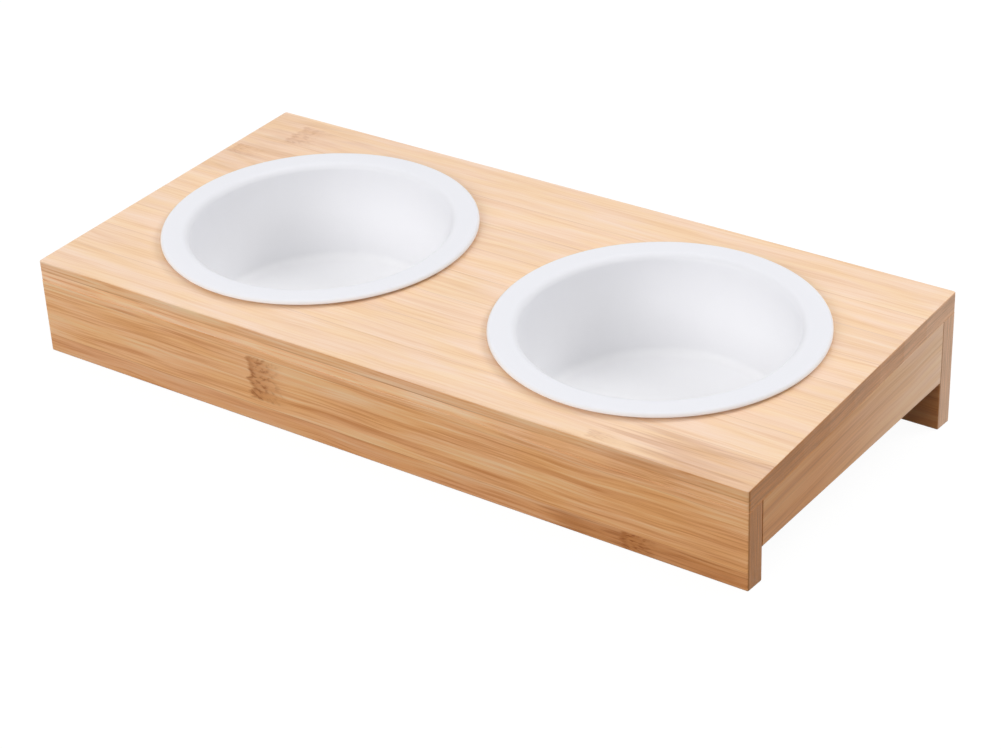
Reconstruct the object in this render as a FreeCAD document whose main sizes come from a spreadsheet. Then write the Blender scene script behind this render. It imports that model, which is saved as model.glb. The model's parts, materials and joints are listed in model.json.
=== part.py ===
"""Tilted double cat bowl: a sloping bamboo stand that carries two lift-out glazed bowls.

Lengths are millimetres and angles are degrees. The stand's pieces are drawn square to its top board: x along the
length from the middle, y up the slope from the front top edge, z out of the top face. Their Placement tilts them.
"""
import FreeCAD, Part
import Sketcher
import os

# Driving dimensions, one cell each.
SIZES = {
    # Bowl
    "rim_radius": 79.5,
    "rim_width": 14,
    "rim_thickness": 3.5,
    "rim_edge_round": 1.6,
    "mouth_round": 4,
    "wall_thickness": 4,
    "wall_inset": 4.5,
    "bowl_depth": 49,
    "bottom_thickness": 4,
    "bottom_round": 6,
    "heel_round": 8,
    "flange_root_round": 1,
    "foot_ring_width": 5,
    "foot_ring_height": 1,
    # Layout of the top board round the two bowls
    "front_margin": 16.5,
    "rear_margin": 20.5,
    "end_margin": 22,
    "bowl_gap": 38,
    "hole_clearance": 1,
    "hole_edge_ease": 1.5,
    # Stand
    "tilt_angle": 6,
    "board_thickness": 11,
    "leg_thickness": 12,
    "rail_thickness": 12,
    "floor_clearance": 2.4,
    "finger_gap_front": 17.4,
    "finger_gap_rear": 25.9,
    "edge_ease": 0.9,
    # Hidden dowels
    "dowel_diameter": 6,
    "dowel_length": 20,
    "dowel_chamfer": 0.7,
    "dowel_glue_gap": 0.05,
    "dowel_end_gap": 1,
    "dowel_cover": 3,
    "leg_dowel_inset": 26,
    "rail_dowel_inset": 34,
}

# Sizes that follow from the driving ones.
DERIVED = {
    "mouth_radius": "Sizes.rim_radius - Sizes.rim_width",
    "bottom_radius": "mouth_radius - Sizes.wall_inset",
    "outer_top_radius": "mouth_radius + Sizes.wall_thickness",
    "outer_bottom_radius": "bottom_radius + Sizes.wall_thickness",
    "foot_radius": "outer_bottom_radius - Sizes.heel_round",
    "foot_inner_radius": "foot_radius - Sizes.foot_ring_width",
    "bowl_drop": "Sizes.bowl_depth + Sizes.bottom_thickness",
    "hole_radius": "outer_top_radius + Sizes.hole_clearance",
    "bowl_x": "Sizes.rim_radius + Sizes.bowl_gap / 2",
    "bowl_y": "Sizes.rim_radius + Sizes.front_margin",
    "half_length": "bowl_x + Sizes.rim_radius + Sizes.end_margin",
    "board_depth": "bowl_y + Sizes.rim_radius + Sizes.rear_margin",
    "rise": "sin(Sizes.tilt_angle)",
    "run": "cos(Sizes.tilt_angle)",
    "front_height": "(bowl_drop + Sizes.floor_clearance) * run - (bowl_y - foot_radius) * rise",
    "half_depth": "(board_depth + front_height * rise) / run / 2",
    "rear_leg_y": "board_depth - Sizes.leg_thickness",
    "front_foot_outer_z": "front_height / run",
    "front_foot_inner_z": "(front_height + Sizes.leg_thickness * rise) / run",
    "rear_foot_inner_z": "(front_height + rear_leg_y * rise) / run",
    "rear_foot_outer_z": "(front_height + board_depth * rise) / run",
    "rail_front_z": "front_foot_inner_z - Sizes.finger_gap_front / run",
    "rail_rear_z": "rear_foot_inner_z - Sizes.finger_gap_rear / run",
    "rail_inner_x": "half_length - Sizes.rail_thickness",
    "rail_middle_x": "half_length - Sizes.rail_thickness / 2",
    "dowel_radius": "Sizes.dowel_diameter / 2",
    "dowel_hole_radius": "dowel_radius + Sizes.dowel_glue_gap",
    "dowel_start": "Sizes.dowel_cover + Sizes.dowel_end_gap",
    "dowel_hole_end": "dowel_start + Sizes.dowel_length + Sizes.dowel_end_gap",
    "leg_dowel_reach": "half_length - Sizes.leg_dowel_inset",
    "rail_dowel_front_y": "Sizes.leg_thickness + Sizes.rail_dowel_inset",
    "rail_dowel_rear_y": "rear_leg_y - Sizes.rail_dowel_inset",
    "front_corner_z": "(Sizes.board_thickness + rail_front_z) / 2",
    "rear_corner_z": "(Sizes.board_thickness + rail_rear_z) / 2",
}

LEG_DOWEL_SHARES = (-1, -1 / 3, 1 / 3, 1)
RIM_ROUND_LIMIT_SHARE = 0.47
SIDES = {"left": -1, "right": 1}
FULL_TURN = 360
TOUCH = 1e-6

document = FreeCAD.newDocument("tilted_double_cat_bowl")


def add_sheet(name, cells):
    """A spreadsheet with one named cell in each row."""
    sheet = document.addObject("Spreadsheet::Sheet", name)
    for row, (alias, content) in enumerate(cells.items(), start=1):
        sheet.set(f"A{row}", alias)
        sheet.set(f"B{row}", content)
        sheet.setAlias(f"B{row}", alias)
    document.recompute()
    return sheet


sizes = add_sheet("Sizes", {alias: str(number) for alias, number in SIZES.items()})
add_sheet("Derived", {alias: "=" + formula for alias, formula in DERIVED.items()})


def value(expression):
    """The number that an expression of named sizes stands for now."""
    return float(sizes.evalExpression(expression))


def origin_plane(body, role):
    """The body's own origin plane with that role."""
    return next(item for item in body.Origin.OriginFeatures if item.Role == role)


def add_body(label):
    """An empty body whose Label names its file."""
    body = document.addObject("PartDesign::Body", label)
    body.Label = label
    body.AllowCompound = True
    return body


def tilt(body, side=0):
    """Stands a body on the slope; a side of -1 or 1 moves it to the left or right bowl's centre."""
    slope = FreeCAD.Rotation(FreeCAD.Vector(1, 0, 0), value("Sizes.tilt_angle"))
    body.Placement = FreeCAD.Placement(FreeCAD.Vector(), slope)
    body.setExpression("Placement.Rotation.Angle", "Sizes.tilt_angle")
    up_slope = f"{abs(side)} * Derived.bowl_y"
    body.setExpression("Placement.Base.x", f"{side} * Derived.bowl_x")
    body.setExpression("Placement.Base.y", f"{up_slope} * Derived.run - Derived.half_depth")
    body.setExpression("Placement.Base.z", f"{up_slope} * Derived.rise + Derived.front_height")


def add_sketch(body, name, role, offset="0"):
    """A sketch on one of the body's origin planes, moved along the plane's normal by an offset expression."""
    sketch = body.newObject("Sketcher::SketchObject", f"{body.Name}_{name}")
    sketch.AttachmentSupport = [(origin_plane(body, role), "")]
    sketch.MapMode = "FlatFace"
    sketch.setExpression("AttachmentOffset.Base.z", offset)
    return sketch


def bind(sketch, kind, arguments, expression):
    """Adds one dimension to a sketch and binds it to an expression."""
    index = sketch.addConstraint(Sketcher.Constraint(kind, *arguments, value(expression)))
    sketch.setExpression(f"Constraints[{index}]", expression)


def place_point(sketch, geometry, point, across, along):
    """Dimensions a point of the sketch from the sketch's origin, or puts it on an axis where the place is 0."""
    for kind, axis, expression in (("DistanceX", -2, across), ("DistanceY", -1, along)):
        if expression == "0":
            sketch.addConstraint(Sketcher.Constraint("PointOnObject", geometry, point, axis))
        else:
            bind(sketch, kind, (-1, 1, geometry, point), expression)


def add_outline(sketch, corners):
    """A closed outline of straight lines; each corner is a pair of expressions."""
    places = [FreeCAD.Vector(value(across), value(along), 0) for across, along in corners]
    for index, start in enumerate(places):
        end = places[(index + 1) % len(places)]
        sketch.addGeometry(Part.LineSegment(start, end), False)
    for index in range(len(places)):
        following = (index + 1) % len(places)
        sketch.addConstraint(Sketcher.Constraint("Coincident", index, 2, following, 1))
    for index, (across, along) in enumerate(corners):
        place_point(sketch, index, 1, across, along)


def add_circles(sketch, centres, radius):
    """Circles of one radius; each centre is a pair of expressions."""
    for across, along in centres:
        centre = FreeCAD.Vector(value(across), value(along), 0)
        circle = Part.Circle(centre, FreeCAD.Vector(0, 0, 1), value(radius))
        index = sketch.addGeometry(circle, False)
        place_point(sketch, index, 3, across, along)
        bind(sketch, "Radius", (index,), radius)


def pad(body, sketch, length, symmetric=False, reverse=False):
    """Extrudes a sketch by a length expression."""
    feature = body.newObject("PartDesign::Pad", f"{sketch.Name}_pad")
    feature.Profile = sketch
    feature.SideType = "Symmetric" if symmetric else "One side"
    feature.Reversed = reverse
    feature.setExpression("Length", length)
    sketch.Visibility = False
    document.recompute()
    return feature


def pocket(body, sketch, length, reverse=False):
    """Cuts a sketch into the body by a length expression and makes sure that it cut something."""
    before = body.Shape.Volume
    feature = body.newObject("PartDesign::Pocket", f"{sketch.Name}_pocket")
    feature.Profile = sketch
    feature.Reversed = reverse
    feature.setExpression("Length", length)
    document.recompute()
    if body.Shape.Volume > before - TOUCH:
        raise RuntimeError(f"{feature.Name} cuts nothing")
    return feature


def edge_names(shape, chosen):
    """Names of the edges that a test picks."""
    return [f"Edge{index}" for index, edge in enumerate(shape.Edges, start=1) if chosen(edge)]


def ease(body, name, chosen, radius, kind="Fillet", size="Radius"):
    """Rounds, or chamfers, the edges of the body that a test picks."""
    base = body.Tip
    names = edge_names(base.Shape, chosen)
    if not names:
        raise RuntimeError(f"{body.Label} {name}: no edge to ease")
    feature = body.newObject(f"PartDesign::{kind}", f"{body.Name}_{name}")
    feature.Base = (base, names)
    feature.setExpression(size, radius)
    document.recompute()
    return feature


def near(first, second):
    """Whether two lengths are the same place."""
    return abs(first - second) < TOUCH


def in_plane(edge, axis, place):
    """Whether a whole edge lies where one coordinate has a given value."""
    low = getattr(edge.BoundBox, axis + "Min")
    high = getattr(edge.BoundBox, axis + "Max")
    return near(low, place) and near(high, place)


def at_corner(edge, outer_y):
    """Whether an edge is an upright one at either end of the stand, on the outer face of a board."""
    ends = abs(edge.CenterOfMass.x)
    upright = edge.BoundBox.XLength < TOUCH and edge.BoundBox.YLength < TOUCH
    return upright and near(ends, value("Derived.half_length")) and near(edge.CenterOfMass.y, outer_y)


def is_ring(edge, radius, height):
    """Whether an edge is part of a circle of that radius, with its centre at that height."""
    if edge.Degenerated or not isinstance(edge.Curve, Part.Circle):
        return False
    return near(edge.Curve.Radius, radius) and near(edge.Curve.Center.z, height)


def leg_dowel_centres(y):
    """Centres of a leg board's dowels, along the length."""
    return [(f"{share} * Derived.leg_dowel_reach", y) for share in LEG_DOWEL_SHARES]


def rail_dowel_centres(side):
    """Centres of a rail's two upright dowels."""
    x = f"{side} * Derived.rail_middle_x"
    return [(x, "Derived.rail_dowel_front_y"), (x, "Derived.rail_dowel_rear_y")]


FRONT_DOWEL_Y = "Sizes.leg_thickness / 2"
REAR_DOWEL_Y = "Derived.board_depth - Sizes.leg_thickness / 2"
UPRIGHT_HOLE_DEPTH = "Derived.dowel_hole_end - Sizes.board_thickness"
CORNER_HOLE_DEPTH = "Derived.dowel_hole_end - Sizes.leg_thickness"


def make_top_board():
    """The sloping panel, with a round hole for each bowl and blind dowel holes in its underside."""
    body = add_body("top_board")
    tilt(body)
    profile = add_sketch(body, "profile", "YZ_Plane")
    underside = "-Sizes.board_thickness"
    add_outline(profile, [("0", "0"), ("0", underside), ("Derived.board_depth", underside),
                          ("Derived.board_depth", "0")])
    pad(body, profile, "2 * Derived.half_length", symmetric=True)
    depth = value("Derived.board_depth")
    ease(body, "outer_ease",
         lambda edge: in_plane(edge, "Z", 0) or at_corner(edge, 0) or at_corner(edge, depth),
         "Sizes.edge_ease")
    holes = add_sketch(body, "bowl_holes", "XY_Plane")
    add_circles(holes, [(f"{side} * Derived.bowl_x", "Derived.bowl_y") for side in SIDES.values()],
                "Derived.hole_radius")
    pocket(body, holes, "Sizes.board_thickness")
    radius = value("Derived.hole_radius")
    ease(body, "hole_ease", lambda edge: is_ring(edge, radius, 0), "Sizes.hole_edge_ease")
    dowels = add_sketch(body, "dowel_holes", "XY_Plane", "-Sizes.dowel_cover")
    centres = leg_dowel_centres(FRONT_DOWEL_Y) + leg_dowel_centres(REAR_DOWEL_Y)
    for side in SIDES.values():
        centres += rail_dowel_centres(side)
    add_circles(dowels, centres, "Derived.dowel_hole_radius")
    pocket(body, dowels, "Sizes.board_thickness")
    return body


def make_leg_board(label, corners, outer_y, dowel_y, inner_y, corner_z, toward_rear):
    """A leg board along the whole length, square to the top board and cut level at the floor."""
    body = add_body(label)
    tilt(body)
    profile = add_sketch(body, "profile", "YZ_Plane")
    add_outline(profile, corners)
    pad(body, profile, "2 * Derived.half_length", symmetric=True)
    foot = [value(along) for across, along in corners[1:3]]
    ease(body, "outer_ease",
         lambda edge: at_corner(edge, value(outer_y)) or any(in_plane(edge, "Z", z) for z in foot),
         "Sizes.edge_ease")
    upright = add_sketch(body, "upright_holes", "XY_Plane", "-Sizes.board_thickness")
    add_circles(upright, leg_dowel_centres(dowel_y), "Derived.dowel_hole_radius")
    pocket(body, upright, UPRIGHT_HOLE_DEPTH)
    level = add_sketch(body, "corner_holes", "XZ_Plane", f"-({inner_y})")
    add_circles(level, [(f"{side} * Derived.rail_middle_x", f"-{corner_z}") for side in SIDES.values()],
                "Derived.dowel_hole_radius")
    pocket(body, level, "Sizes.leg_thickness - Sizes.dowel_cover", reverse=not toward_rear)
    return body


def make_front_leg_board():
    """The low board under the front edge."""
    top = "-Sizes.board_thickness"
    corners = [("0", top), ("0", "-Derived.front_foot_outer_z"),
               ("Sizes.leg_thickness", "-Derived.front_foot_inner_z"), ("Sizes.leg_thickness", top)]
    return make_leg_board("front_leg_board", corners, "0", FRONT_DOWEL_Y, "Sizes.leg_thickness",
                          "Derived.front_corner_z", toward_rear=False)


def make_rear_leg_board():
    """The taller board under the rear edge."""
    top = "-Sizes.board_thickness"
    corners = [("Derived.rear_leg_y", top), ("Derived.rear_leg_y", "-Derived.rear_foot_inner_z"),
               ("Derived.board_depth", "-Derived.rear_foot_outer_z"), ("Derived.board_depth", top)]
    return make_leg_board("rear_leg_board", corners, "Derived.board_depth", REAR_DOWEL_Y, "Derived.rear_leg_y",
                          "Derived.rear_corner_z", toward_rear=True)


def make_side_rail(name, side):
    """A tapered rail between the leg boards, flush with the stand's end, with a finger gap under it."""
    body = add_body(f"{name}_side_rail")
    tilt(body)
    face = "Derived.rail_inner_x" if side > 0 else "-Derived.half_length"
    profile = add_sketch(body, "profile", "YZ_Plane", face)
    top = "-Sizes.board_thickness"
    add_outline(profile, [("Sizes.leg_thickness", top), ("Sizes.leg_thickness", "-Derived.rail_front_z"),
                          ("Derived.rear_leg_y", "-Derived.rail_rear_z"), ("Derived.rear_leg_y", top)])
    pad(body, profile, "Sizes.rail_thickness")
    lower = -value("Derived.front_corner_z")
    ease(body, "lower_ease", lambda edge: edge.BoundBox.YLength > value("Sizes.rail_thickness")
         and edge.CenterOfMass.z < lower, "Sizes.edge_ease")
    upright = add_sketch(body, "upright_holes", "XY_Plane", top)
    add_circles(upright, rail_dowel_centres(side), "Derived.dowel_hole_radius")
    pocket(body, upright, UPRIGHT_HOLE_DEPTH)
    ends = (("front", "Sizes.leg_thickness", "Derived.front_corner_z", False),
            ("rear", "Derived.rear_leg_y", "Derived.rear_corner_z", True))
    for end, y, corner_z, reverse in ends:
        level = add_sketch(body, f"{end}_end_hole", "XZ_Plane", f"-{y}")
        add_circles(level, [(f"{side} * Derived.rail_middle_x", f"-{corner_z}")], "Derived.dowel_hole_radius")
        pocket(body, level, CORNER_HOLE_DEPTH, reverse=reverse)
    return body


def chamfer_dowels(body):
    """Breaks both ends of every dowel in a group."""
    ease(body, "end_chamfer", lambda edge: isinstance(edge.Curve, Part.Circle), "Sizes.dowel_chamfer",
         kind="Chamfer", size="Size")


def make_upright_dowels(label, centres):
    """A group of dowels square to the top board."""
    body = add_body(label)
    tilt(body)
    tops = add_sketch(body, "tops", "XY_Plane", "-Derived.dowel_start")
    add_circles(tops, centres, "Derived.dowel_radius")
    pad(body, tops, "Sizes.dowel_length", reverse=True)
    chamfer_dowels(body)
    return body


def make_corner_dowels(name, side):
    """The two dowels that run from the leg boards into the ends of one rail."""
    body = add_body(f"{name}_corner_dowels")
    tilt(body)
    x = f"{side} * Derived.rail_middle_x"
    ends = (("front", "Derived.dowel_start", "Derived.front_corner_z", True),
            ("rear", "(Derived.board_depth - Derived.dowel_start)", "Derived.rear_corner_z", False))
    for end, y, corner_z, reverse in ends:
        sketch = add_sketch(body, f"{end}_end", "XZ_Plane", f"-{y}")
        add_circles(sketch, [(x, f"-{corner_z}")], "Derived.dowel_radius")
        pad(body, sketch, "Sizes.dowel_length", reverse=reverse)
    chamfer_dowels(body)
    return body


def make_bowl(name, side):
    """A round bowl turned about its own axis: flat flange on the board, tapered wall and a foot ring."""
    body = add_body(f"{name}_bowl")
    tilt(body, side)
    profile = add_sketch(body, "profile", "XZ_Plane")
    recess = "Sizes.foot_ring_height - Derived.bowl_drop"
    add_outline(profile, [
        ("0", "-Sizes.bowl_depth"),
        ("Derived.bottom_radius", "-Sizes.bowl_depth"),
        ("Derived.mouth_radius", "Sizes.rim_thickness"),
        ("Sizes.rim_radius", "Sizes.rim_thickness"),
        ("Sizes.rim_radius", "0"),
        ("Derived.outer_top_radius", "0"),
        ("Derived.outer_bottom_radius", "-Derived.bowl_drop"),
        ("Derived.foot_inner_radius", "-Derived.bowl_drop"),
        ("Derived.foot_inner_radius", recess),
        ("0", recess),
    ])
    turn = body.newObject("PartDesign::Revolution", f"{body.Name}_turn")
    turn.Profile = profile
    turn.ReferenceAxis = (profile, ["V_Axis"])
    turn.Angle = FULL_TURN
    document.recompute()
    rim_round = f"min(Sizes.rim_edge_round; {RIM_ROUND_LIMIT_SHARE} * Sizes.rim_thickness)"
    rounds = (
        ("bottom_round", "Derived.bottom_radius", "-Sizes.bowl_depth", "Sizes.bottom_round"),
        ("mouth_round", "Derived.mouth_radius", "Sizes.rim_thickness", "Sizes.mouth_round"),
        ("rim_upper_round", "Sizes.rim_radius", "Sizes.rim_thickness", rim_round),
        ("rim_lower_round", "Sizes.rim_radius", "0", rim_round),
        ("root_round", "Derived.outer_top_radius", "0", "Sizes.flange_root_round"),
        ("heel_round", "Derived.outer_bottom_radius", "-Derived.bowl_drop", "Sizes.heel_round"),
    )
    for feature, radius, height, size in rounds:
        ring = (value(radius), value(height))
        ease(body, feature, lambda edge: is_ring(edge, *ring), size)
    return body


def make_pieces():
    """Every piece of the object, each in its own body."""
    pieces = [make_top_board(), make_front_leg_board(), make_rear_leg_board()]
    pieces.append(make_upright_dowels("front_leg_dowels", leg_dowel_centres(FRONT_DOWEL_Y)))
    pieces.append(make_upright_dowels("rear_leg_dowels", leg_dowel_centres(REAR_DOWEL_Y)))
    for name, side in SIDES.items():
        pieces.append(make_side_rail(name, side))
        pieces.append(make_upright_dowels(f"{name}_rail_dowels", rail_dowel_centres(side)))
        pieces.append(make_corner_dowels(name, side))
        pieces.append(make_bowl(name, side))
    return pieces


def check(pieces):
    """Stops before anything is written if a feature failed or a piece is not sound."""
    for item in document.Objects:
        if "Invalid" in item.State or "Error" in item.State:
            raise RuntimeError(f"{item.Name} failed: {item.State}")
    for piece in pieces:
        if piece.Shape.isNull() or not piece.Shape.isValid():
            raise RuntimeError(f"{piece.Label} has no sound shape")


def export(pieces):
    """Writes one file for each piece."""
    os.makedirs("parts", exist_ok=True)
    for piece in pieces:
        piece.Shape.exportStep(f"parts/{piece.Label}.step")


pieces = make_pieces()
document.recompute()
check(pieces)
export(pieces)
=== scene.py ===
"""Tilted double cat bowl: a sloping bamboo stand and two white bowls that lift out of it."""
import json
import math
from dataclasses import dataclass

import bmesh
import bpy
from mathutils import Matrix, Vector


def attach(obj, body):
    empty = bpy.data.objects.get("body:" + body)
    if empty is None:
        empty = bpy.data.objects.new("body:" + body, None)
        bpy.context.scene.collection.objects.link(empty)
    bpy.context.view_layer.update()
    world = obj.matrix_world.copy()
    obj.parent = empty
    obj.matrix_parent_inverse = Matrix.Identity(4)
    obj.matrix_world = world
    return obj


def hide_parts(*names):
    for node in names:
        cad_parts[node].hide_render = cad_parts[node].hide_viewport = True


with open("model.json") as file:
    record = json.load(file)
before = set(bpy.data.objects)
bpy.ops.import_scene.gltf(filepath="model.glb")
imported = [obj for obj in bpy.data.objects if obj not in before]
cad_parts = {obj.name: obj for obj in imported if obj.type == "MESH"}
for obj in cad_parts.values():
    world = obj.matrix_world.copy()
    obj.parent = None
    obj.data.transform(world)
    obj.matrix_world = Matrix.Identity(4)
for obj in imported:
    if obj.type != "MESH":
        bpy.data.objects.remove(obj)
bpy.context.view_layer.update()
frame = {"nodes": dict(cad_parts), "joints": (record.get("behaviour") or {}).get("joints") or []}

# Sizes of the stand in metres
EDGE_EASE = 0.0009
HOLE_EASE = 0.0015
JOINT_EASE = 0.0003
CORNER_ROUND = 0.0012
HOLE_CLEARANCE = 0.001

# Sizes of a bowl in metres
RIM_WIDTH = 0.014
RIM_THICKNESS = 0.0035
RIM_EDGE_ROUND = 0.0016
RIM_UNDER_ROUND = 0.0003
RIM_LIFT = 0.0016
RIM_LIFT_WIDTH = 0.0065
MOUTH_ROUND = 0.004
WALL_THICKNESS = 0.004
WALL_INSET = 0.0045
BOTTOM_THICKNESS = 0.004
BOTTOM_ROUND = 0.006
HEEL_ROUND = 0.008
FLANGE_ROOT_ROUND = 0.001
FOOT_RING_WIDTH = 0.005
FOOT_RING_HEIGHT = 0.001
FOOT_EDGE_ROUND = 0.0004

# How finely curves are divided, and how far large faces outweigh small ones in the shading
EASE_SEGMENTS = 4
ARC_STEPS = 8
ROUND_SIDES = 192
LARGE_FACE_WEIGHT = 100

# The tilted frame of the top board: x along the front, s up the slope, n out of the top face
X_AXIS, S_AXIS, N_AXIS = 0, 1, 2
ALONG = Vector((1, 0, 0))
NORMAL = Vector(frame["joints"][0]["axis"]).normalized()
SLOPE = NORMAL.cross(ALONG)
TILT = math.atan2(SLOPE.z, SLOPE.y)


def reach(node, direction):
    """Lowest and highest reach of a CAD node along a direction."""
    reaches = [vertex.co.dot(direction) for vertex in frame["nodes"][node].data.vertices]
    return min(reaches), max(reaches)


FRONT_REACH, REAR_REACH = reach("top_board", SLOPE)
UNDER_REACH, TOP_REACH = reach("top_board", NORMAL)
ORIGIN = SLOPE * FRONT_REACH + NORMAL * TOP_REACH
BOARD_FRAME = Matrix.Translation(ORIGIN) @ Matrix.Rotation(TILT, 4, "X")
HALF_LENGTH = reach("top_board", ALONG)[1]
DEPTH = REAR_REACH - FRONT_REACH
BOARD_UNDER = UNDER_REACH - TOP_REACH
LEG_THICKNESS = reach("front_leg_board", SLOPE)[1] - FRONT_REACH
RAIL_INNER = reach("right_side_rail", ALONG)[0]

BOWL_LOW, BOWL_HIGH = reach("right_bowl", ALONG)
BOWL_X = (BOWL_LOW + BOWL_HIGH) / 2
BOWL_S = sum(reach("right_bowl", SLOPE)) / 2 - FRONT_REACH
BOWL_FOOT = reach("right_bowl", NORMAL)[0] - TOP_REACH
RIM_RADIUS = (BOWL_HIGH - BOWL_LOW) / 2
HOLE_RADIUS = RIM_RADIUS - RIM_WIDTH + WALL_THICKNESS + HOLE_CLEARANCE


def floor_under(s):
    """Height n of the floor below a place on the slope."""
    return -(ORIGIN.z + s * SLOPE.z) / NORMAL.z


def lowest_at(node, s, slack=0.0005):
    """Lowest height n of a CAD node at a place on the slope."""
    places = [vertex.co - ORIGIN for vertex in frame["nodes"][node].data.vertices]
    return min(place.dot(NORMAL) for place in places if abs(place.dot(SLOPE) - s) < slack)


def linear(red, green, blue):
    """Screen values from 0 to 255 as the linear colour that shaders take, by the sRGB curve."""
    shares = [value / 255 for value in (red, green, blue)]
    curve = [share / 12.92 if share < 0.04 else ((share + 0.055) / 1.055) ** 2.4 for share in shares]
    return (*curve, 1.0)


def grey(level):
    return (level, level, level, 1.0)


class Tree:
    """A node tree, with short calls that add nodes and join them."""

    def __init__(self, owner):
        owner.use_nodes = True
        self.owner = owner
        self.nodes = owner.node_tree.nodes
        self.links = owner.node_tree.links

    def put(self, socket, value):
        """Joins a node's output to a socket, or sets the socket to a plain value."""
        if isinstance(value, bpy.types.NodeSocket):
            self.links.new(value, socket)
        else:
            socket.default_value = value

    def add(self, kind, inputs=None, **settings):
        node = self.nodes.new("ShaderNode" + kind)
        for name, value in settings.items():
            setattr(node, name, value)
        for key, value in (inputs or {}).items():
            self.put(node.inputs[key], value)
        return node

    def math(self, operation, *values):
        return self.add("Math", dict(enumerate(values)), operation=operation).outputs[0]

    def times(self, *values):
        product = values[0]
        for value in values[1:]:
            product = self.math("MULTIPLY", product, value)
        return product

    def less(self, value):
        """1 less the value."""
        return self.math("SUBTRACT", 1.0, value)

    def noise(self, places, sizes, detail=2.0):
        """Soft noise, with spots of the given sizes along the three places."""
        scaled = [self.math("DIVIDE", place, size) for place, size in zip(places, sizes)]
        vector = self.add("CombineXYZ", dict(enumerate(scaled))).outputs[0]
        inputs = {"Vector": vector, "Scale": 1.0, "Detail": detail}
        return self.add("TexNoise", inputs).outputs["Fac"]

    def step(self, value, low, high):
        """0 up to low, 1 from high on, and smooth between them."""
        inputs = {"Value": value, "From Min": low, "From Max": high}
        return self.add("MapRange", inputs, interpolation_type="SMOOTHSTEP").outputs["Result"]

    def fit(self, value, low, high, to_low, to_high):
        """Value moved from one range to another, in proportion."""
        inputs = dict(enumerate((value, low, high, to_low, to_high)))
        return self.add("MapRange", inputs).outputs["Result"]

    def ramp(self, value, stops, interpolation="LINEAR"):
        """A colour ramp through stops of place and colour."""
        node = self.add("ValToRGB", {"Fac": value})
        node.color_ramp.interpolation = interpolation
        elements = node.color_ramp.elements
        while len(elements) < len(stops):
            elements.new(1.0)
        for element, (place, colour) in zip(elements, stops):
            element.position = place
            element.color = colour
        return node.outputs["Color"]

    def mix(self, share, first, second, blend="MIX"):
        inputs = {0: share, 6: first, 7: second}
        return self.add("Mix", inputs, data_type="RGBA", blend_type=blend).outputs[2]

    def place(self, origin):
        """A point of the piece in the tilted frame that starts at an origin, as x, s and n."""
        point = self.add("TexCoord").outputs["Object"]
        inputs = {"Vector": point, "Location": origin, "Rotation": (TILT, 0, 0)}
        mapped = self.add("Mapping", inputs, vector_type="TEXTURE").outputs["Vector"]
        return tuple(self.add("SeparateXYZ", {"Vector": mapped}).outputs)

    def facing(self, axis, low, high):
        """1 where the surface faces along an axis of the tilted frame, 0 where it lies along it."""
        normal = self.add("TexCoord").outputs["Normal"]
        direction = (ALONG, SLOPE, NORMAL)[axis]
        dot = self.add("VectorMath", {0: normal, 1: direction}, operation="DOT_PRODUCT")
        return self.step(self.math("ABSOLUTE", dot.outputs["Value"]), low, high)

    def seen_directly(self):
        """1 for the rays by which the camera, a mirror or a glass sees, 0 for the rest."""
        path = self.add("LightPath").outputs
        seen = self.math("MAXIMUM", path["Is Camera Ray"], path["Is Glossy Ray"])
        return self.math("MAXIMUM", seen, path["Is Transmission Ray"])

    def finish(self, colour, roughness, height, depth):
        """Gives the shader its colour, its roughness and a relief of a given depth in metres."""
        shader = self.nodes["Principled BSDF"]
        bump = self.add("Bump", {"Height": height, "Distance": depth, "Strength": 1.0})
        self.put(shader.inputs["Base Color"], colour)
        self.put(shader.inputs["Roughness"], roughness)
        self.put(shader.inputs["Normal"], bump.outputs["Normal"])
        return self.owner


# Bamboo tones from dark fibre to light: the top, paler partly as painted sheen; the front; a brighter
# set that paints light onto the front's left part; and the rest
PALE_TONES_WITH_SHEEN = (linear(241, 201, 162), linear(250, 216, 183), linear(253, 225, 198))
WARM_TONES = (linear(208, 138, 78), linear(242, 179, 120), linear(251, 205, 153))
FRONT_PAINTED_LIGHT_TONES = (linear(224, 156, 98), linear(255, 198, 143), linear(255, 217, 170))
RAIL_TONES = (linear(206, 137, 77), linear(230, 163, 102), linear(242, 186, 127))
TONE_PLACES = (0.0, 0.5, 1.0)

# Sawn ends, the paler one painted light for the back ends, knuckles of the cane and patches of painted
# shade, and glue lines
END_TONE = linear(196, 132, 75)
END_PAINTED_LIGHT_TONE = linear(221, 176, 141)
KNUCKLE_OR_SHADE_TINT = linear(200, 132, 74)
KNUCKLE_OR_SHADE_SPOT = linear(160, 92, 42)
SEAM_TONE = linear(158, 102, 58)

# Two faint tints that lie in patches over the wood, and the noise at which one turns to the other
HONEY = (1.0, 0.985, 0.93, 1.0)
ROSE = (1.0, 1.005, 1.07, 1.0)
HUE_TURN = (0.35, 0.65)

# The satin lacquer
LACQUER_SPECULAR = 0.25
LACQUER_ROUGHNESS = (0.36, 0.5)

# Streaks in the wood, each a length and a width in metres
BANDS = (0.11, 0.0055)
FIBRES = (0.055, 0.0012)
THREADS = (0.03, 0.00042)
DASHES = (0.011, 0.00038)
PATCHES = (0.045, 0.008)

# How much of the tone each kind of streak makes, the range that their sum covers, and its relief
BAND_SHARE = 0.42
FIBRE_SHARE = 0.38
THREAD_SHARE = 0.2
TONE_RANGE = (0.37, 0.63)
FIBRE_RELIEF = 0.00004

# How far the grain wanders sideways, and the sizes of its waves along, across and through a board
DRIFT = 0.0012
DRIFT_SIZES = (0.09, 0.03, 0.03)

# How far a strip's pattern moves along the grain with its tint, so that strips differ
STRIP_SHIFT = 37.0

# Where most of the noise lies
MIDDLE_NOISE = (0.3, 0.7)

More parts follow.
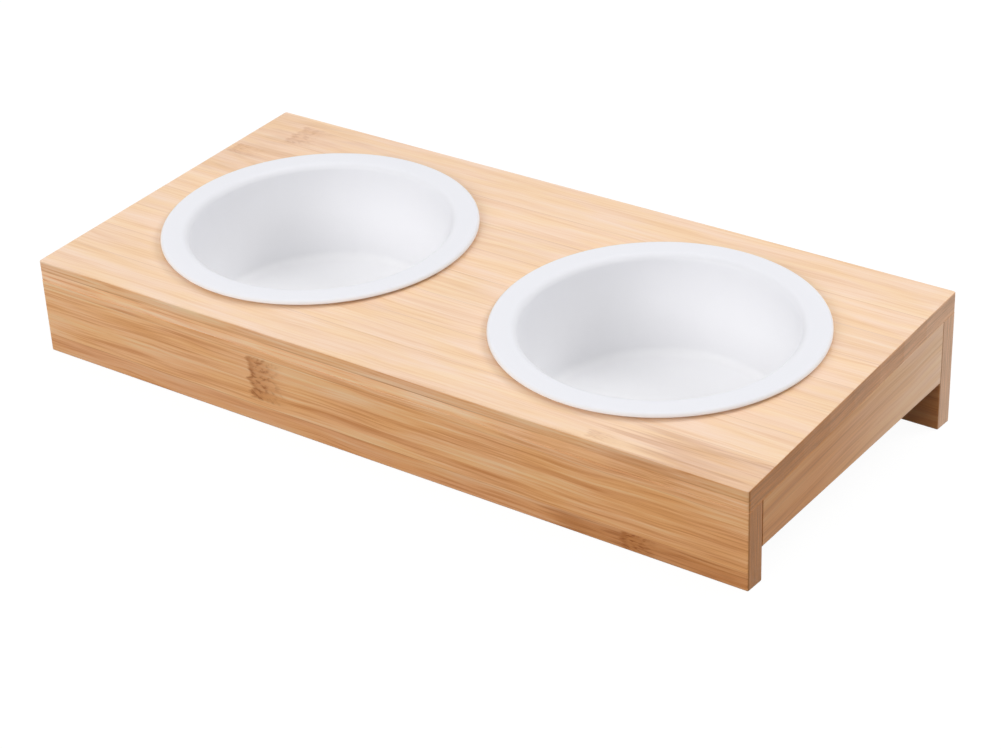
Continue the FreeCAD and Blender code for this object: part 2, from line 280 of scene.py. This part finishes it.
# Dark dashes: the noise from which they show, and how strongly
DASH_EDGE = (0.62, 0.74)
DASH_SHARE = 0.3

# Glue lines between strips: width in metres, how dark and how deep
SEAM_WIDTH = 0.00025
SEAM_SHARE = 0.3
SEAM_DEPTH = 0.5

# The glue line between two plies: width in metres, the noise from which it shows, and how dark
PLY_LINE_WIDTH = 0.0005
PLY_LINE_EDGE = (0.4, 0.6)
PLY_LINE_SHARE = 0.6

# Shades of the two plies where they are sawn through
UPPER_END = grey(0.96)
LOWER_END = grey(1.06)

# How squarely a surface faces along an axis to count as a board's face, or as its sawn end
FACE_TURN = (0.3, 0.6)
END_TURN = (0.6, 0.8)

# A knuckle's patch, in shares of its width along the grain and of half its height across it
RAGGEDNESS = 0.1
RAGGED_SIZES = (2.0, 0.3, 0.01)
KNUCKLE_START = (-0.06, 0.06)
KNUCKLE_END = (0.25, 1.15)
KNUCKLE_SIDE = (0.85, 1.0)
TINT_SHARE = 0.75

# The dark spots in a knuckle and the ridge at its start, in the same shares
SPOT_SIZES = (0.17, 0.12, 0.01)
SPOT_EDGE = (0.46, 0.68)
RIDGE_PLACE = 0.08
RIDGE_WIDTH = 0.12
RIDGE_SHARE = 0.45

# Layers and pores of sawn ends: sizes in metres, shades, and where in the noise they lie
LAYER_SIZES = (0.022, 0.0011, 1.0)
LAYER_SHADES = (0.82, 1.18)
LAYER_SEED = 3.0
PORE_SIZES = (0.0006, 0.0006, 1.0)
PORE_SHADES = (-0.07, 0.07)
PORE_SEED = 7.0


@dataclass
class KnuckleOrShade:
    """A knuckle of the cane, a stain, or a broad patch of painted shade: its reach along and across
    the grain, and its strength.
    """
    start: float
    width: float
    low: float
    high: float
    strength: float


@dataclass
class Board:
    """How a board was cut: its axes, its glued strips and plies with their tones, and its knuckles;
    also its patches of painted shade and its painted light along the grain.
    """
    name: str
    grain: int
    across: int
    through: int
    edges: tuple
    tints: tuple
    tones: tuple
    end_tones: tuple
    knuckles_and_shades: tuple = ()
    plies: tuple = ()
    fade: tuple = ()
    painted_light_tones: tuple = PALE_TONES_WITH_SHEEN


def blended(share, first, second):
    """A colour part of the way from one to another."""
    return tuple(a + (b - a) * share for a, b in zip(first, second))


def by_strip(tree, across, board, colours):
    """The colour given to the strip that a point lies in."""
    low, high = board.edges[0], board.edges[-1]
    places = [(edge - low) / (high - low) for edge in board.edges[:-1]]
    return tree.ramp(tree.fit(across, low, high, 0.0, 1.0), list(zip(places, colours)), "CONSTANT")


def line_at(tree, value, place, width):
    """1 on a line where the value passes a place, 0 beside it."""
    away = tree.math("ABSOLUTE", tree.math("SUBTRACT", value, place))
    return tree.less(tree.step(away, 0.0, width))


def seam_lines(tree, across, board):
    """1 on the glue lines between strips, 0 elsewhere."""
    lines = 0.0
    for edge in board.edges[1:-1]:
        lines = tree.math("MAXIMUM", lines, line_at(tree, across, edge, SEAM_WIDTH))
    return lines


def add_knuckle_or_shade(tree, colour, grain, across, knuckle_or_shade):
    """Tints a patch across one strip and sets dark spots in it that fan out along the grain."""
    half = (knuckle_or_shade.high - knuckle_or_shade.low) / 2
    u = tree.math("DIVIDE", tree.math("SUBTRACT", grain, knuckle_or_shade.start), knuckle_or_shade.width)
    v = tree.math("DIVIDE", tree.math("SUBTRACT", across, knuckle_or_shade.low + half), half)
    ragged = tree.noise((u, v, knuckle_or_shade.start), RAGGED_SIZES)
    along = tree.math("ADD", u, tree.fit(ragged, *MIDDLE_NOISE, -RAGGEDNESS, RAGGEDNESS))
    ends = tree.times(tree.step(along, *KNUCKLE_START), tree.less(tree.step(along, *KNUCKLE_END)))
    sides = tree.less(tree.step(tree.math("ABSOLUTE", v), *KNUCKLE_SIDE))
    patch = tree.times(ends, sides)
    fan = tree.math("DIVIDE", v, tree.math("ADD", 1.0, u))
    spots = tree.step(tree.noise((u, fan, knuckle_or_shade.start), SPOT_SIZES), *SPOT_EDGE)
    ridge = tree.times(line_at(tree, along, RIDGE_PLACE, RIDGE_WIDTH), sides)
    marks = tree.math("MAXIMUM", tree.times(patch, spots), tree.times(ridge, RIDGE_SHARE))
    colour = tree.mix(tree.times(patch, TINT_SHARE * knuckle_or_shade.strength), colour, KNUCKLE_OR_SHADE_TINT)
    return tree.mix(tree.times(marks, knuckle_or_shade.strength), colour, KNUCKLE_OR_SHADE_SPOT)


class Wood:
    """The material of a board as it is made: where a point lies in the board, and its streaks."""

    def __init__(self, board):
        tree = Tree(bpy.data.materials.new(board.name))
        place = tree.place(ORIGIN)
        self.tree = tree
        self.board = board
        self.grain = place[board.grain]
        self.across = place[board.across]
        self.through = place[board.through]
        waves = tree.noise((self.grain, self.across, self.through), DRIFT_SIZES)
        self.drifted = tree.math("ADD", self.across, tree.fit(waves, *MIDDLE_NOISE, -DRIFT, DRIFT))
        self.tint = by_strip(tree, self.across, board, board.tints)
        self.shifted = tree.math("ADD", self.grain, tree.times(self.tint, STRIP_SHIFT))
        self.fibres = self.streaks(FIBRES)
        self.weave = self.woven()
        self.level = tree.fit(self.weave, *TONE_RANGE, 0.0, 1.0)
        self.hue = tree.mix(tree.step(self.streaks(PATCHES), *HUE_TURN), HONEY, ROSE)

    def streaks(self, size):
        """Noise drawn out along the grain."""
        length, width = size
        return self.tree.noise((self.shifted, self.drifted, self.through), (length, width, width))

    def woven(self):
        """Bands, fibres and threads in one."""
        tree = self.tree
        bands = tree.times(self.streaks(BANDS), BAND_SHARE)
        weave = tree.math("ADD", bands, tree.times(self.fibres, FIBRE_SHARE))
        return tree.math("ADD", weave, tree.times(self.streaks(THREADS), THREAD_SHARE))

    def toned(self, tones):
        """The wood in tones from dark fibre to light."""
        ramp = self.tree.ramp(self.level, list(zip(TONE_PLACES, tones)))
        return self.tree.mix(1.0, ramp, self.hue, "MULTIPLY")

    def with_painted_light(self, tones):
        """The wood in tones that turn along the grain to a second set painted as more light, if the
        board has them.
        """
        if not self.board.fade:
            return self.toned(tones)
        start, end, share = self.board.fade
        painted_share = self.tree.fit(self.grain, start, end, 0.0, share)
        return self.tree.mix(painted_share, self.toned(tones), self.toned(self.board.painted_light_tones))

    def sawn_ends(self):
        """The board's ends: layers drawn out across it, and pores."""
        tree = self.tree
        # The strips' end tones may grow paler towards the back as painted light
        tone = by_strip(tree, self.across, self.board, self.board.end_tones)
        layers = tree.noise((self.across, self.through, LAYER_SEED), LAYER_SIZES)
        pores = tree.noise((self.across, self.through, PORE_SEED), PORE_SIZES)
        layer_shade = tree.fit(layers, *MIDDLE_NOISE, *LAYER_SHADES)
        pore_shade = tree.fit(pores, *MIDDLE_NOISE, *PORE_SHADES)
        return tree.mix(1.0, tone, tree.math("ADD", layer_shade, pore_shade), "MULTIPLY")


def ply_edges(wood, upper):
    """A board's long edges, where its two plies show and here and there the glue between them."""
    tree = wood.tree
    upper_tint, lower_tint = wood.board.plies
    edge = tree.mix(1.0, wood.with_painted_light(WARM_TONES), tree.mix(upper, lower_tint, upper_tint), "MULTIPLY")
    line = line_at(tree, wood.through, BOARD_UNDER / 2, PLY_LINE_WIDTH)
    shown = tree.times(line, tree.step(wood.streaks(BANDS), *PLY_LINE_EDGE), PLY_LINE_SHARE)
    return tree.mix(shown, edge, SEAM_TONE)


def with_plies(wood, face, ends):
    """The colours of a board's sides and of its sawn ends, with its two plies in them."""
    tree = wood.tree
    middle = BOARD_UNDER / 2
    upper = tree.step(wood.through, middle - SEAM_WIDTH, middle + SEAM_WIDTH)
    sides = tree.mix(tree.facing(wood.board.through, *FACE_TURN), ply_edges(wood, upper), face)
    return sides, tree.mix(1.0, ends, tree.mix(upper, LOWER_END, UPPER_END), "MULTIPLY")


def bamboo(board):
    """Laminated bamboo under a satin lacquer."""
    wood = Wood(board)
    tree = wood.tree
    face = wood.toned(board.tones) if board.plies else wood.with_painted_light(board.tones)
    colour = tree.mix(1.0, face, wood.tint, "MULTIPLY")
    ends = wood.sawn_ends()
    if board.plies:
        colour, ends = with_plies(wood, colour, ends)
    dashes = tree.step(wood.streaks(DASHES), *DASH_EDGE)
    colour = tree.mix(tree.times(dashes, DASH_SHARE), colour, board.tones[0])
    for knuckle_or_shade in board.knuckles_and_shades:
        colour = add_knuckle_or_shade(tree, colour, wood.grain, wood.across, knuckle_or_shade)
    seams = seam_lines(tree, wood.across, board)
    colour = tree.mix(tree.times(seams, SEAM_SHARE), colour, SEAM_TONE)
    colour = tree.mix(tree.facing(board.grain, *END_TURN), colour, ends)
    roughness = tree.fit(wood.fibres, *MIDDLE_NOISE, *LACQUER_ROUGHNESS)
    relief = tree.math("SUBTRACT", wood.weave, tree.times(seams, SEAM_DEPTH))
    tree.nodes["Principled BSDF"].inputs["Specular IOR Level"].default_value = LACQUER_SPECULAR
    return tree.finish(colour, roughness, relief, FIBRE_RELIEF)


# Beech: dark and light flecks, the noise that they span, their sizes in metres, and the roughness
BEECH_DARK = linear(196, 158, 112)
BEECH_LIGHT = linear(222, 188, 146)
FLECK_RANGE = (0.35, 0.65)
FLECK_SIZES = (0.0007, 0.003, 0.003)
BEECH_ROUGHNESS = (0.55, 0.7)


def beech():
    """Plain turned beech for the pins inside the joints."""
    tree = Tree(bpy.data.materials.new("dowel_beech"))
    flecks = tree.noise(tree.place(ORIGIN), FLECK_SIZES)
    colour = tree.ramp(flecks, list(zip(FLECK_RANGE, (BEECH_DARK, BEECH_LIGHT))))
    return tree.finish(colour, tree.fit(flecks, *MIDDLE_NOISE, *BEECH_ROUGHNESS), flecks, FIBRE_RELIEF)


# White glaze on rim and wall, whiter in the bottom where it pools and as painted light against the
# wall, creamier where it runs thin, and bare clay
GLAZE = linear(240, 241, 247)
GLAZE_WALL = linear(242, 242, 244)
GLAZE_POOLED_AND_LIT = linear(252, 252, 254)
GLAZE_THIN = linear(243, 239, 233)
CLAY_LIGHT = linear(222, 212, 196)
CLAY_DARK = linear(204, 192, 174)

# How much of the wall's colour shows in the glaze's clouds, and how much of the thin edge's
WALL_SHARES = (0.85, 1.0)
THIN_SHARE = 0.25

# Roughness of the glaze, and what bare clay adds to it
GLAZE_ROUGHNESS = (0.29, 0.34)
CLAY_ROUGHNESS = 0.5

# Sizes in metres: clouds and waves of the glaze, grains of the clay, and the waves' relief
CLOUD_SIZES = (0.05, 0.05, 0.05)
WAVE_SIZES = (0.018, 0.018, 0.018)
CLAY_SIZES = (0.0004, 0.0004, 0.0004)
GLAZE_RELIEF = 0.00006

# Heights in metres: pooled glaze above the inner bottom, and the glaze's lower edge above the foot
POOL_HEIGHT = 0.004
GLAZE_LINE = (0.0002, 0.0007)


def glaze_colour(tree, radius, n, clouds):
    """White that differs a little between rim, wall, bottom and thin edge."""
    mouth = RIM_RADIUS - RIM_WIDTH
    bottom = BOWL_FOOT + BOTTOM_THICKNESS
    wall = tree.less(tree.step(radius, mouth - MOUTH_ROUND, mouth + MOUTH_ROUND))
    wall = tree.times(wall, tree.fit(clouds, *MIDDLE_NOISE, *WALL_SHARES))
    # The whiter bottom is pooled glaze and also painted light
    pooled_and_lit = tree.less(tree.step(n, bottom, bottom + POOL_HEIGHT))
    thin = tree.step(radius, RIM_RADIUS - RIM_EDGE_ROUND, RIM_RADIUS)
    colour = tree.mix(wall, GLAZE, GLAZE_WALL)
    colour = tree.mix(pooled_and_lit, colour, GLAZE_POOLED_AND_LIT)
    return tree.mix(tree.times(thin, THIN_SHARE), colour, GLAZE_THIN)


def glaze(name, centre):
    """White glossy glaze that stops short of the foot."""
    tree = Tree(bpy.data.materials.new(name))
    x, s, n = tree.place(centre)
    clouds = tree.noise((x, s, n), CLOUD_SIZES, detail=0.0)
    waves = tree.noise((x, s, n), WAVE_SIZES, detail=0.0)
    radius = tree.math("SQRT", tree.math("ADD", tree.times(x, x), tree.times(s, s)))
    colour = glaze_colour(tree, radius, n, clouds)
    clay = tree.mix(tree.noise((x, s, n), CLAY_SIZES), CLAY_LIGHT, CLAY_DARK)
    bare = tree.less(tree.step(n, *(BOWL_FOOT + height for height in GLAZE_LINE)))
    roughness = tree.fit(clouds, *MIDDLE_NOISE, *GLAZE_ROUGHNESS)
    roughness = tree.math("ADD", roughness, tree.times(bare, CLAY_ROUGHNESS))
    return tree.finish(tree.mix(bare, colour, clay), roughness, waves, GLAZE_RELIEF)


def add_object(name, mesh, material):
    mesh.materials.append(material)
    made = bpy.data.objects.new(name, mesh)
    bpy.context.scene.collection.objects.link(made)
    return made


def add_piece(name, mesh, material, body, node):
    """A piece from a mesh in the tilted frame, which takes the place of a CAD node."""
    mesh.transform(BOARD_FRAME)
    piece = add_object(name, mesh, material)
    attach(piece, body)
    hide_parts(node)
    return piece


def with_modifier(mesh, kind, **settings):
    """The mesh that one modifier makes of a mesh."""
    worker = bpy.data.objects.new("worker", mesh)
    bpy.context.scene.collection.objects.link(worker)
    modifier = worker.modifiers.new("shape", kind)
    for name, value in settings.items():
        setattr(modifier, name, value)
    graph = bpy.context.evaluated_depsgraph_get()
    made = bpy.data.meshes.new_from_object(worker.evaluated_get(graph))
    bpy.data.objects.remove(worker)
    return made


def even_normals(mesh):
    """The mesh with its flat faces shaded flat and its eased edges shaded round."""
    return with_modifier(mesh, "WEIGHTED_NORMAL", weight=LARGE_FACE_WEIGHT)


def to_mesh(shape, name):
    """A smooth-shaded mesh from a bmesh."""
    mesh = bpy.data.meshes.new(name)
    bmesh.ops.recalc_face_normals(shape, faces=shape.faces)
    shape.to_mesh(mesh)
    shape.free()
    mesh.polygons.foreach_set("use_smooth", [True] * len(mesh.polygons))
    return mesh


def eased_bar(name, outline, low, high, ease_of):
    """A bar along x from an outline of (s, n) corners, each edge rounded by the ease given for it."""
    shape = bmesh.new()
    face = shape.faces.new([shape.verts.new((low, s, n)) for s, n in outline])
    swept = bmesh.ops.extrude_face_region(shape, geom=[face])["geom"]
    moved = [item for item in swept if isinstance(item, bmesh.types.BMVert)]
    bmesh.ops.translate(shape, verts=moved, vec=(high - low, 0, 0))
    weights = shape.edges.layers.float.new("bevel_weight_edge")
    for edge in shape.edges:
        start, end = (corner.co for corner in edge.verts)
        edge[weights] = ease_of(start, end) / EDGE_EASE
    mesh = with_modifier(to_mesh(shape, name), "BEVEL", limit_method="WEIGHT",
                         width=EDGE_EASE, segments=EASE_SEGMENTS)
    return even_normals(mesh)


def make_leg(name, node, s_low, s_high, material):
    """A leg board: its top is glued under the top board, its foot lies flat on the floor."""
    outline = [(s_low, floor_under(s_low)), (s_high, floor_under(s_high)),
               (s_high, BOARD_UNDER), (s_low, BOARD_UNDER)]

    def ease_of(start, end):
        at_joint = min(start.z, end.z) > BOARD_UNDER - EDGE_EASE
        return JOINT_EASE if at_joint else EDGE_EASE

    mesh = eased_bar(name, outline, -HALF_LENGTH, HALF_LENGTH, ease_of)
    return add_piece(name, mesh, material, "stand", node)


def make_rail(name, node, side, material):
    """A side rail between the legs, with its lower edge raised for fingers."""
    s_low, s_high = LEG_THICKNESS, DEPTH - LEG_THICKNESS
    outline = [(s_low, lowest_at(node, s_low)), (s_high, lowest_at(node, s_high)),
               (s_high, BOARD_UNDER), (s_low, BOARD_UNDER)]

    def ease_of(start, end):
        at_joint = min(start.z, end.z) > BOARD_UNDER - EDGE_EASE
        lengthwise = abs(start.y - end.y) > LEG_THICKNESS
        return EDGE_EASE if lengthwise and not at_joint else JOINT_EASE

    low, high = sorted((side * RAIL_INNER, side * HALF_LENGTH))
    mesh = eased_bar(name, outline, low, high, ease_of)
    return add_piece(name, mesh, material, "stand", node)


def eased_profile(top_ease, under_ease):
    """Steps down a board's edge, each an inset from the edge and a height."""
    quarter = [math.pi / 2 * index / EASE_SEGMENTS for index in range(EASE_SEGMENTS + 1)]
    upper = [(top_ease * (1 - math.sin(turn)), top_ease * (math.cos(turn) - 1)) for turn in quarter]
    lower = [(under_ease * (1 - math.cos(turn)), BOARD_UNDER + under_ease * (1 - math.sin(turn)))
             for turn in quarter]
    return upper + lower


def circle(centre, radius, height):
    """Points round a circle that lies along the board."""
    turns = [2 * math.pi * index / ROUND_SIDES for index in range(ROUND_SIDES)]
    return [(centre.x + radius * math.cos(turn), centre.y + radius * math.sin(turn), height)
            for turn in turns]


def board_loop(inset, height):
    """Points round the board's outline, with its four corners rounded."""
    points = []
    radius = CORNER_ROUND - inset
    for index, (right, back) in enumerate(((1, 1), (-1, 1), (-1, -1), (1, -1))):
        corner_x = right * (HALF_LENGTH - CORNER_ROUND)
        corner_s = DEPTH / 2 + back * (DEPTH / 2 - CORNER_ROUND)
        for step in range(EASE_SEGMENTS + 1):
            turn = math.pi / 2 * (index + step / EASE_SEGMENTS)
            x = corner_x + radius * math.cos(turn)
            s = corner_s + radius * math.sin(turn)
            points.append((x, s, height))
    return points


def skin(shape, loops):
    """Faces between each loop of points and the next; returns the rows of vertices."""
    rows = [[shape.verts.new(point) for point in loop] for loop in loops]
    for first, second in zip(rows, rows[1:]):
        for index in range(len(first)):
            before = index - 1
            shape.faces.new((first[before], first[index], second[index], second[before]))
    return rows


def edges_round(shape, row):
    """The edges round a closed row of vertices."""
    return [shape.edges.get((row[index - 1], row[index])) for index in range(len(row))]


def make_top(name, material):
    """The top board with its two round holes."""
    shape = bmesh.new()
    sides = [skin(shape, [board_loop(*step) for step in eased_profile(EDGE_EASE, JOINT_EASE)])]
    for side in (-1, 1):
        centre = Vector((side * BOWL_X, BOWL_S))
        profile = eased_profile(HOLE_EASE, EDGE_EASE)
        loops = [circle(centre, HOLE_RADIUS + inset, height) for inset, height in profile]
        sides.append(skin(shape, loops))
    for level in (0, -1):
        edges = [edge for rows in sides for edge in edges_round(shape, rows[level])]
        bmesh.ops.triangle_fill(shape, edges=edges, use_beauty=True, normal=(0, 0, 1))
    mesh = even_normals(to_mesh(shape, name))
    return add_piece(name, mesh, material, "stand", "top_board")


def rounded_outline(corners):
    """Points of an outline whose corners, each a radius, a height and a rounding, become arcs."""
    points = [Vector(corners[0][:2])]
    for before, corner, after in zip(corners, corners[1:], corners[2:]):
        tip, rounding = Vector(corner[:2]), corner[2]
        back = (Vector(before[:2]) - tip).normalized()
        ahead = (Vector(after[:2]) - tip).normalized()
        half = back.angle(ahead) / 2
        centre = tip + (back + ahead).normalized() * rounding / math.sin(half)
        start = tip + back * rounding / math.tan(half) - centre
        end = tip + ahead * rounding / math.tan(half) - centre
        turn = math.pi - 2 * half
        for index in range(ARC_STEPS + 1):
            share = index / ARC_STEPS
            spoke = start * math.sin((1 - share) * turn) + end * math.sin(share * turn)
            points.append(centre + spoke / math.sin(turn))
    points.append(Vector(corners[-1][:2]))
    return points


def bowl_outline():
    """Half section of a bowl, from the middle of its inside over the rim to the middle below."""
    mouth = RIM_RADIUS - RIM_WIDTH
    bottom = mouth - WALL_INSET
    ring_inside = bottom + WALL_THICKNESS - HEEL_ROUND - FOOT_RING_WIDTH
    inside = BOWL_FOOT + BOTTOM_THICKNESS
    hollow = BOWL_FOOT + FOOT_RING_HEIGHT
    return rounded_outline([
        (0.0, inside, 0.0),
        (bottom, inside, BOTTOM_ROUND),
        (mouth, RIM_THICKNESS, MOUTH_ROUND),
        (RIM_RADIUS, RIM_THICKNESS, RIM_EDGE_ROUND),
        (RIM_RADIUS, RIM_LIFT, RIM_UNDER_ROUND),
        (RIM_RADIUS - RIM_LIFT_WIDTH, 0.0, RIM_UNDER_ROUND),
        (mouth + WALL_THICKNESS, 0.0, FLANGE_ROOT_ROUND),
        (bottom + WALL_THICKNESS, BOWL_FOOT, HEEL_ROUND),
        (ring_inside, BOWL_FOOT, FOOT_EDGE_ROUND),
        (ring_inside, hollow, FOOT_EDGE_ROUND),
        (0.0, hollow, 0.0),
    ])


def make_bowl(name, node, side, material):
    """A turned bowl hanging by its flange."""
    shape = bmesh.new()
    centre = Vector((side * BOWL_X, BOWL_S, 0.0))
    first, *outline, last = bowl_outline()
    rows = skin(shape, [circle(centre, point.x, point.y) for point in outline])
    for point, row in ((first, rows[0]), (last, rows[-1])):
        tip = shape.verts.new((centre.x, centre.y, point.y))
        for index in range(ROUND_SIDES):
            shape.faces.new((tip, row[index - 1], row[index]))
    return add_piece(name, to_mesh(shape, name), material, node, node)


# Painted light, for the front's left and the rails' back, which get more light: where a board starts
# to turn paler along its grain, where it is palest, and how pale it gets
FRONT_PAINTED_LIGHT = (0.15, -0.2, 0.9)
RAIL_PAINTED_LIGHT = (0.06, 0.18, 0.75)

# The top board's strips from front to back: their tints, and how pale their sawn ends are, painted
# light that grows towards the back
TOP_TINTS = (0.985, 0.99, 1.0, 0.985, 1.005, 0.99, 1.01, 1.0)
TOP_END_PAINTED_LIGHT = (0, 0, 0.1, 0.25, 0.35, 0.5, 0.7, 0.9)

TOP_BOARD = Board(
    "bamboo_top", X_AXIS, S_AXIS, N_AXIS,
    edges=(0.0, 0.024, 0.047, 0.071, 0.094, 0.118, 0.142, 0.165, DEPTH),
    tints=tuple(grey(level) for level in TOP_TINTS),
    tones=PALE_TONES_WITH_SHEEN,
    end_tones=tuple(blended(share, END_TONE, END_PAINTED_LIGHT_TONE) for share in TOP_END_PAINTED_LIGHT),
    knuckles_and_shades=(KnuckleOrShade(-0.178, 0.02, 0.165, 0.187, 0.22),
              KnuckleOrShade(-0.197, 0.02, 0.142, 0.153, 0.25),
              KnuckleOrShade(0.118, 0.018, 0.0015, 0.008, 0.2),
              # The last two are broad patches of painted shade where less light falls, at the back
              # left and the front right
              KnuckleOrShade(-0.23, 0.2, 0.118, DEPTH, 0.12),
              KnuckleOrShade(0.135, 0.25, -0.001, 0.024, 0.3)),
    plies=((0.97, 1.02, 1.15, 1.0), (1.12, 1.22, 1.42, 1.0)),
    fade=FRONT_PAINTED_LIGHT,
    painted_light_tones=FRONT_PAINTED_LIGHT_TONES,
)
FRONT_LEG = Board(
    "bamboo_front", X_AXIS, N_AXIS, S_AXIS,
    edges=(-0.055, -0.0415, -0.0145, BOARD_UNDER),
    tints=((0.915, 0.86, 0.85, 1.0), grey(0.995), (1.0, 1.02, 1.08, 1.0)),
    tones=WARM_TONES,
    end_tones=(END_TONE, END_TONE, END_TONE),
    knuckles_and_shades=(KnuckleOrShade(-0.0695, 0.021, -0.039, -0.0145, 0.72),
              KnuckleOrShade(0.1, 0.14, -0.055, -0.0415, 0.6),
              KnuckleOrShade(0.1365, 0.019, -0.0515, -0.0415, 1.0)),
    fade=FRONT_PAINTED_LIGHT,
    painted_light_tones=FRONT_PAINTED_LIGHT_TONES,
)
REAR_LEG = Board(
    "bamboo_rear", X_AXIS, N_AXIS, S_AXIS,
    edges=(-0.085, -0.046, -0.028, BOARD_UNDER),
    # The lowest strip's dark red tint is painted shade for the recess under the stand
    tints=((0.8, 0.69, 0.62, 1.0), grey(1.0), grey(0.985)),
    tones=RAIL_TONES,
    # Pale sawn ends, painted light
    end_tones=(END_PAINTED_LIGHT_TONE, END_PAINTED_LIGHT_TONE, END_PAINTED_LIGHT_TONE),
    knuckles_and_shades=(KnuckleOrShade(0.061, 0.018, -0.046, -0.028, 0.45),
              KnuckleOrShade(-0.112, 0.016, -0.028, -0.0125, 0.4)),
)
LEFT_RAIL = Board(
    "bamboo_left_rail", S_AXIS, N_AXIS, X_AXIS,
    edges=(-0.06, -0.031, BOARD_UNDER),
    tints=(grey(0.95), grey(1.0)),
    tones=RAIL_TONES,
    end_tones=(END_TONE, END_TONE),
    fade=RAIL_PAINTED_LIGHT,
)
RIGHT_RAIL = Board(
    "bamboo_right_rail", S_AXIS, N_AXIS, X_AXIS,
    edges=(-0.06, -0.022, BOARD_UNDER),
    tints=(grey(1.0), grey(0.96)),
    tones=RAIL_TONES,
    end_tones=(END_TONE, END_TONE),
    fade=RAIL_PAINTED_LIGHT,
)


def build_stand():
    make_top("top_board_bamboo", bamboo(TOP_BOARD))
    make_leg("front_leg_bamboo", "front_leg_board", 0.0, LEG_THICKNESS, bamboo(FRONT_LEG))
    make_leg("rear_leg_bamboo", "rear_leg_board", DEPTH - LEG_THICKNESS, DEPTH, bamboo(REAR_LEG))
    make_rail("left_rail_bamboo", "left_side_rail", -1, bamboo(LEFT_RAIL))
    make_rail("right_rail_bamboo", "right_side_rail", 1, bamboo(RIGHT_RAIL))
    pin_wood = beech()
    for node, pins in frame["nodes"].items():
        if node.endswith("dowels"):
            pins.data.materials[0] = pin_wood


def build_bowls():
    for name, side in (("left_bowl", -1), ("right_bowl", 1)):
        centre = BOARD_FRAME @ Vector((side * BOWL_X, BOWL_S, 0.0))
        make_bowl(name + "_glazed", name, side, glaze(name + "_glaze", centre))


# The floor: width in metres, light that it sends to the object, light that it shows, and its own white
FLOOR_SIZE = 12.0
FLOOR_BOUNCE = 0.16
FLOOR_SHADED = 0.08
FLOOR_WHITE = 0.95

# Light of the surroundings, level with the floor and overhead
WORLD_LOW = 0.15
WORLD_HIGH = 1.01


def build_floor():
    """A pale floor that looks white and keeps the object's shadow."""
    tree = Tree(bpy.data.materials.new("floor_white"))
    bounce = tree.add("BsdfDiffuse", {"Color": grey(FLOOR_BOUNCE)}).outputs[0]
    shaded = tree.add("BsdfDiffuse", {"Color": grey(FLOOR_SHADED)}).outputs[0]
    white = tree.add("Emission", {"Strength": FLOOR_WHITE}).outputs[0]
    shown = tree.add("AddShader", {0: shaded, 1: white}).outputs[0]
    surface = tree.add("MixShader", {0: tree.seen_directly(), 1: bounce, 2: shown}).outputs[0]
    tree.put(tree.nodes["Material Output"].inputs["Surface"], surface)
    shape = bmesh.new()
    bmesh.ops.create_grid(shape, x_segments=1, y_segments=1, size=FLOOR_SIZE / 2)
    add_object("floor", to_mesh(shape, "floor"), tree.owner)


def build_world():
    """White surroundings that light the object more softly than they look."""
    tree = Tree(bpy.data.worlds.new("studio"))
    background = tree.nodes["Background"]
    direction = tree.add("TexCoord").outputs["Generated"]
    height = tree.add("SeparateXYZ", {"Vector": direction}).outputs["Z"]
    light = tree.fit(tree.times(height, height), 0.0, 1.0, WORLD_LOW, WORLD_HIGH)
    tree.put(background.inputs["Color"], grey(1.0))
    tree.put(background.inputs["Strength"], tree.fit(tree.seen_directly(), 0.0, 1.0, light, 1.0))
    bpy.context.scene.world = tree.owner


@dataclass
class Lamp:
    """A soft lamp: its place and size in metres, and its power in watts."""
    name: str
    place: tuple
    width: float
    height: float
    power: float


LAMP_COLOUR = (1.0, 0.99, 0.98)
LAMPS = (
    Lamp("front_light", place=(-0.33, -1.9, 0.8), width=2.0, height=1.0, power=23.4),
    Lamp("side_light", place=(0.5, 0.3, 0.09), width=0.3, height=0.12, power=0.36),
    Lamp("back_light", place=(1.0, 1.25, 1.57), width=0.7, height=0.7, power=14.0),
)


def add_lamp(lamp):
    """Hangs a lamp that faces the middle of the top's front edge and makes no glint."""
    light = bpy.data.lights.new(lamp.name, "AREA")
    light.shape = "RECTANGLE"
    light.size = lamp.width
    light.size_y = lamp.height
    light.energy = lamp.power
    light.color = LAMP_COLOUR
    hung = bpy.data.objects.new(lamp.name, light)
    hung.location = lamp.place
    hung.rotation_euler = (ORIGIN - Vector(lamp.place)).to_track_quat("-Z", "Y").to_euler()
    hung.visible_camera = False
    hung.visible_glossy = False
    bpy.context.scene.collection.objects.link(hung)


def build_lights():
    for lamp in LAMPS:
        add_lamp(lamp)


# The photograph's viewpoint: place in metres, angles in degrees, lens in millimetres
CAMERA_PLACE = Vector((0.62288, -0.92047, 0.55244))
CAMERA_AZIMUTH = 33.773
CAMERA_ELEVATION = 26.148
CAMERA_ROLL = 1.180
CAMERA_LENS = 90.76
SENSOR_WIDTH = 36.0


def build_camera():
    data = bpy.data.cameras.new("camera")
    data.sensor_width = SENSOR_WIDTH
    data.lens = CAMERA_LENS
    camera = bpy.data.objects.new("camera", data)
    turn = Matrix.Rotation(math.radians(CAMERA_AZIMUTH), 4, "Z")
    lift = Matrix.Rotation(math.radians(90 - CAMERA_ELEVATION), 4, "X")
    roll = Matrix.Rotation(math.radians(CAMERA_ROLL), 4, "Z")
    camera.matrix_world = Matrix.Translation(CAMERA_PLACE) @ turn @ lift @ roll
    bpy.context.scene.collection.objects.link(camera)
    bpy.context.scene.camera = camera


build_stand()
build_bowls()
build_floor()
build_world()
build_lights()
build_camera()
bpy.context.scene.view_settings.view_transform = "Standard"
